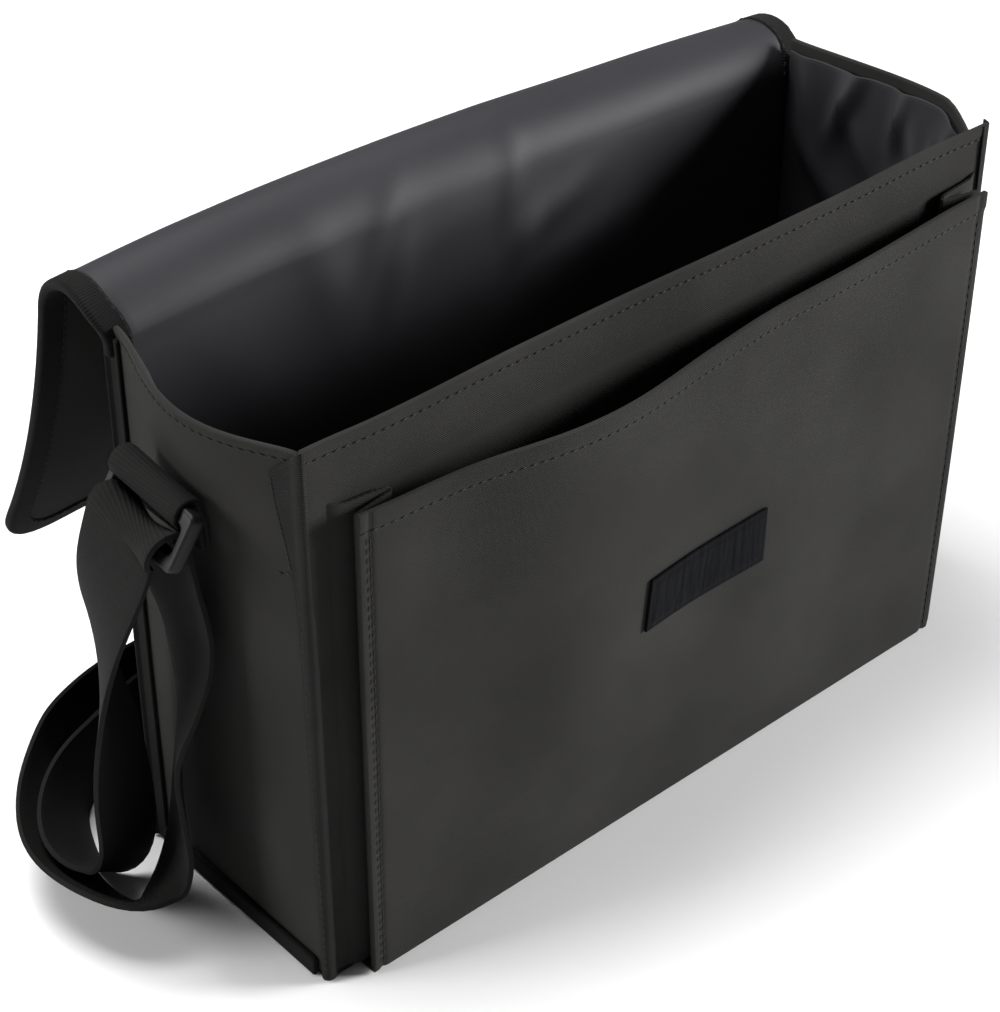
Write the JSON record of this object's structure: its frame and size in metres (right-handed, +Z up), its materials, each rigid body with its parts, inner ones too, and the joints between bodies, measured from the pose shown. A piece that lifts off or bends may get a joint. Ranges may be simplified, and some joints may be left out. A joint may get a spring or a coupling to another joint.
{
  "type": "projector carry case",
  "caption": "Soft boxy carry case of dark woven polyester, standing open with its flap thrown back, a bellows pocket in front and a webbing shoulder strap.",
  "frame": {"origin": "middle of the base's underside, on the floor", "axes": "+X to the case's right as its front is looked at, +Y from the front to the back, +Z up"},
  "size_m": [0.4357, 0.2242, 0.2547],
  "materials": {
    "cloth": "charcoal woven polyester, matt",
    "lining": "grey coated lining, soft sheen",
    "tape": "near-black binding tape",
    "webbing": "ribbed polypropylene webbing",
    "plastic": "moulded, half gloss",
    "patch": "looped pile"
  },
  "bodies": {
    "root": {"base_panel": "cloth", "base_lining": "lining", "front_panel": "cloth", "front_lining": "lining", "side_left": "cloth", "side_lining_left": "lining", "side_right": "cloth", "side_lining_right": "lining", "back_flap_panel": "cloth", "back_flap_lining": "lining", "flap_binding": "tape", "corner_binding_front_left": "tape", "corner_binding_front_right": "tape", "corner_binding_back_left": "tape", "corner_binding_back_right": "tape", "base_binding_left": "tape", "base_binding_right": "tape", "pocket_panel": "cloth", "pocket_bellows_left": "cloth", "pocket_bellows_right": "cloth", "loop_patch": "patch", "hook_patch": "patch", "strap_ring": "plastic", "strap_tab": "webbing", "shoulder_strap": "webbing", "strap_adjuster": "plastic"}
  },
  "joints": []
}
